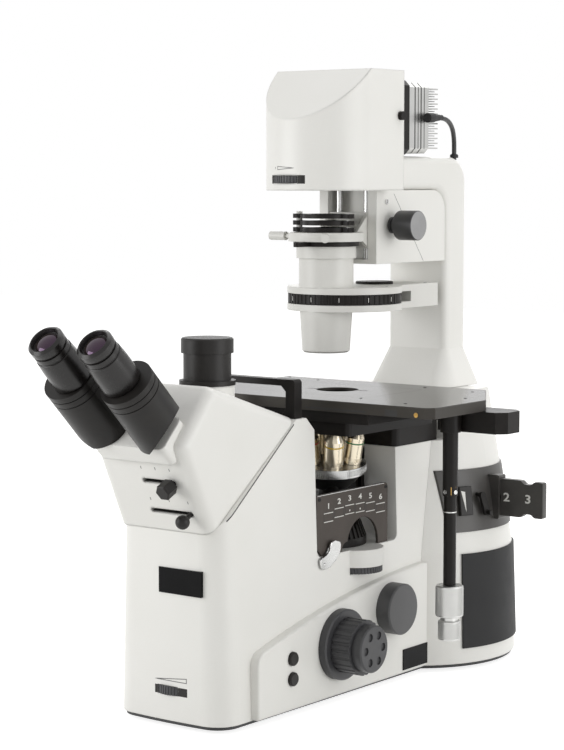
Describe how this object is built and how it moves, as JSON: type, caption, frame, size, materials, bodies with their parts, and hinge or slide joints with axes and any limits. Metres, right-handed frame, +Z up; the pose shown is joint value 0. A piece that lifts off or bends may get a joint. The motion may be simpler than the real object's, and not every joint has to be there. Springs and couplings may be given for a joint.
{
  "type": "inverted microscope",
  "caption": "Inverted laboratory microscope: tilting lamp arm and condenser over a mechanical stage, objectives below it, and an angled binocular head in front.",
  "frame": {"origin": "on the bench, at the middle of the object's footprint at rest", "axes": "+Z up, +X to the user's right, -Y towards the user"},
  "size_m": [0.367, 0.745, 0.696],
  "materials": {
    "white_enamel": "satin warm off-white enamel",
    "black_enamel": "matte black enamel",
    "black_anodised": "satin black anodised",
    "black_plastic": "fine-grained black",
    "grey_plastic": "fine-grained dark grey",
    "aluminium": "clear anodised",
    "steel": "brushed",
    "nickel": "satin nickel",
    "rubber": "matte",
    "black_rubber": "smooth cable jacket",
    "mirror": "front-surface coating"
  },
  "bodies": {
    "stand": {"rubber_feet": "rubber", "base_plate": "black_enamel", "main_housing": "white_enamel", "rear_tower": "white_enamel", "side_panels": "white_enamel", "illuminator_band": "black_plastic", "grip_panels": "grey_plastic", "plates": "black_plastic", "focus_flanges": "black_plastic", "focus_guide": "steel", "relay_mirror": "mirror", "observation_head": "white_enamel", "phototube": "black_anodised", "tube_bridge": "black_anodised", "guard_bracket": "black_anodised", "stage_frame": "black_anodised", "stage_fixed_plate": "black_anodised", "tilt_hinge_pin": "steel"},
    "arm": {"arm_pillar": "white_enamel", "lamp_head": "white_enamel", "lamp_mount": "black_anodised", "lamp_heatsink": "aluminium", "lamp_lead": "black_rubber", "condenser_block": "white_enamel", "guide_rods": "steel"},
    "condenser": {"condenser_carriage": "white_enamel", "condenser_tube": "white_enamel"},
    "nosepiece": {"nosepiece_carrier": "black_anodised"},
    "objective_turret": {"nosepiece_turret": "steel", "objectives": "nickel"},
    "stage_carriage": {"stage_carriage": "black_anodised"},
    "stage_table": {"stage_top": "black_anodised", "stage_insert": "black_anodised"},
    "coarse_knobs": {"coarse_knobs": "grey_plastic"},
    "fine_knobs": {"fine_knobs": "grey_plastic"},
    "button_upper": {"button_upper": "grey_plastic"},
    "button_lower": {"button_lower": "grey_plastic"},
    "brightness_dial": {"brightness_dial": "grey_plastic"},
    "magnification_wheel": {"magnification_wheel": "grey_plastic"},
    "side_port_cap": {"side_port_cap": "black_plastic"},
    "filter_slider": {"filter_slider": "black_anodised"},
    "diaphragm_lever": {"diaphragm_lever": "black_plastic"},
    "shutter_lever": {"shutter_lever": "steel"},
    "filter_turret": {"filter_turret": "black_anodised"},
    "selector_knob": {"selector_knob": "grey_plastic"},
    "light_path_lever": {"light_path_lever": "grey_plastic"},
    "phototube_cap": {"phototube_cap": "black_plastic"},
    "tube_left": {"tube_left": "black_anodised"},
    "tube_right": {"tube_right": "black_anodised"},
    "eyepiece_left": {"eyepiece_left": "black_plastic"},
    "eyepiece_right": {"eyepiece_right": "black_plastic"},
    "stage_knob_upper": {"stage_knob_upper": "aluminium"},
    "stage_knob_lower": {"stage_knob_lower": "aluminium"},
    "field_dial": {"field_dial": "grey_plastic"},
    "condenser_knob": {"condenser_knob": "black_plastic"},
    "condenser_turret": {"condenser_turret": "black_plastic"},
    "aperture_lever": {"aperture_lever": "black_plastic"},
    "filter_tray_1": {"filter_tray_1": "black_anodised"},
    "filter_tray_2": {"filter_tray_2": "black_anodised"},
    "filter_tray_3": {"filter_tray_3": "black_anodised"}
  },
  "joints": [
    {"name": "arm_tilt", "type": "hinge", "parent": "stand", "child": "arm", "pos_m": [-0.0505, 0.276, 0.29], "axis": [-1, 0, 0], "range_deg": [0, 18]},
    {"name": "condenser_focus", "type": "slide", "parent": "arm", "child": "condenser", "axis": [0, 0, 1], "range_m": [-0.012, 0.016]},
    {"name": "condenser_knob_turn", "type": "hinge", "parent": "arm", "child": "condenser_knob", "pos_m": [-0.0505, 0.14, 0.521], "axis": [1, 0, 0], "range_deg": [-91.9, 122.4]},
    {"name": "condenser_turret_turn", "type": "hinge", "parent": "condenser", "child": "condenser_turret", "pos_m": [-0.0505, 0.104, 0], "axis": [0, 0, 1], "continuous": true},
    {"name": "aperture_turn", "type": "hinge", "parent": "condenser", "child": "aperture_lever", "pos_m": [-0.0505, 0.068, 0], "axis": [0, 0, 1], "range_deg": [-40, 40]},
    {"name": "filter_tray_1_swing", "type": "hinge", "parent": "condenser", "child": "filter_tray_1", "pos_m": [-0.0885, 0.068, 0], "axis": [0, 0, -1], "range_deg": [0, 95]},
    {"name": "filter_tray_2_swing", "type": "hinge", "parent": "condenser", "child": "filter_tray_2", "pos_m": [-0.0885, 0.068, 0], "axis": [0, 0, -1], "range_deg": [0, 95]},
    {"name": "filter_tray_3_swing", "type": "hinge", "parent": "condenser", "child": "filter_tray_3", "pos_m": [-0.0885, 0.068, 0], "axis": [0, 0, -1], "range_deg": [0, 95]},
    {"name": "field_dial_turn", "type": "hinge", "parent": "arm", "child": "field_dial", "pos_m": [-0.05513, 0.02528, 0], "axis": [0, 0, 1], "range_deg": [-120, 120]},
    {"name": "nosepiece_focus", "type": "slide", "parent": "stand", "child": "nosepiece", "axis": [0, 0, 1], "range_m": [-0.002, 0.007]},
    {"name": "coarse_focus_turn", "type": "hinge", "parent": "stand", "child": "coarse_knobs", "pos_m": [-0.0505, -0.023, 0.067], "axis": [1, 0, 0], "range_deg": [-19.4, 67.2]},
    {"name": "fine_focus_turn", "type": "hinge", "parent": "stand", "child": "fine_knobs", "pos_m": [-0.0505, -0.023, 0.067], "axis": [1, 0, 0], "continuous": true},
    {"name": "nosepiece_turn", "type": "hinge", "parent": "nosepiece", "child": "objective_turret", "pos_m": [-0.03229, 0.04979, 0.25738], "axis": [0.0984, -0.0984, 0.9903], "continuous": true},
    {"name": "filter_turret_turn", "type": "hinge", "parent": "stand", "child": "filter_turret", "pos_m": [-0.0325, 0.04, 0], "axis": [0, 0, 1], "continuous": true},
    {"name": "magnification_turn", "type": "hinge", "parent": "stand", "child": "magnification_wheel", "pos_m": [0.0115, 0.041, 0], "axis": [0, 0, 1], "continuous": true},
    {"name": "shutter_turn", "type": "hinge", "parent": "stand", "child": "shutter_lever", "pos_m": [-0.0505, -0.039, 0.156], "axis": [1, 0, 0], "range_deg": [-20, 20]},
    {"name": "brightness_turn", "type": "hinge", "parent": "stand", "child": "brightness_dial", "pos_m": [-0.0475, -0.193, 0], "axis": [0, 0, 1], "range_deg": [-135, 135]},
    {"name": "button_upper_press", "type": "slide", "parent": "stand", "child": "button_upper", "axis": [-1, 0, 0], "range_m": [0, 0.0025], "stiffness_N_per_m": 400},
    {"name": "button_lower_press", "type": "slide", "parent": "stand", "child": "button_lower", "axis": [-1, 0, 0], "range_m": [0, 0.0025], "stiffness_N_per_m": 400},
    {"name": "selector_slide", "type": "slide", "parent": "stand", "child": "selector_knob", "axis": [1, 0, 0], "range_m": [-0.038, 0]},
    {"name": "light_path_slide", "type": "slide", "parent": "stand", "child": "light_path_lever", "axis": [1, 0, 0], "range_m": [-0.05, 0]},
    {"name": "tube_left_slide", "type": "slide", "parent": "stand", "child": "tube_left", "axis": [-1, 0, 0], "range_m": [-0.0085, 0.005]},
    {"name": "tube_right_slide", "type": "slide", "parent": "stand", "child": "tube_right", "axis": [1, 0, 0], "range_m": [-0.0085, 0.005]},
    {"name": "dioptre_left_turn", "type": "hinge", "parent": "tube_left", "child": "eyepiece_left", "pos_m": [-0.083, -0.264, 0.3195], "axis": [0, -0.7071, 0.7071], "range_deg": [-150, 150]},
    {"name": "dioptre_right_turn", "type": "hinge", "parent": "tube_right", "child": "eyepiece_right", "pos_m": [-0.018, -0.264, 0.3195], "axis": [0, -0.7071, 0.7071], "range_deg": [-150, 150]},
    {"name": "phototube_cap_lift", "type": "slide", "parent": "stand", "child": "phototube_cap", "axis": [0, 0, 1], "range_m": [0, 0.03]},
    {"name": "side_port_cap_pull", "type": "slide", "parent": "stand", "child": "side_port_cap", "axis": [1, 0, 0], "range_m": [0, 0.03]},
    {"name": "stage_y", "type": "slide", "parent": "stand", "child": "stage_carriage", "axis": [0, 1, 0], "range_m": [-0.024, 0.03]},
    {"name": "stage_x", "type": "slide", "parent": "stage_carriage", "child": "stage_table", "axis": [1, 0, 0], "range_m": [-0.068, 0.046]},
    {"name": "stage_knob_upper_turn", "type": "hinge", "parent": "stage_carriage", "child": "stage_knob_upper", "pos_m": [0.1215, 0.063, 0], "axis": [0, 0, 1], "range_deg": [-138, 172.4]},
    {"name": "stage_knob_lower_turn", "type": "hinge", "parent": "stage_carriage", "child": "stage_knob_lower", "pos_m": [0.1215, 0.063, 0], "axis": [0, 0, 1], "range_deg": [-390.1, 264.1]},
    {"name": "filter_slider_slide", "type": "slide", "parent": "stand", "child": "filter_slider", "axis": [1, 0, 0], "range_m": [-0.05, 0]},
    {"name": "diaphragm_turn", "type": "hinge", "parent": "stand", "child": "diaphragm_lever", "pos_m": [0.0577, 0.22102, 0.205], "axis": [0.9703, -0.2419, 0], "range_deg": [-25, 25]}
  ],
  "couplings": [
    {"joint": "condenser_knob_turn", "follows": "condenser_focus", "rad_per_m": 133},
    {"joint": "coarse_focus_turn", "follows": "nosepiece_focus", "rad_per_m": 166.7},
    {"joint": "tube_right_slide", "follows": "tube_left_slide", "ratio": 1},
    {"joint": "stage_knob_upper_turn", "follows": "stage_y", "rad_per_m": 100},
    {"joint": "stage_knob_lower_turn", "follows": "stage_x", "rad_per_m": 100}
  ]
}
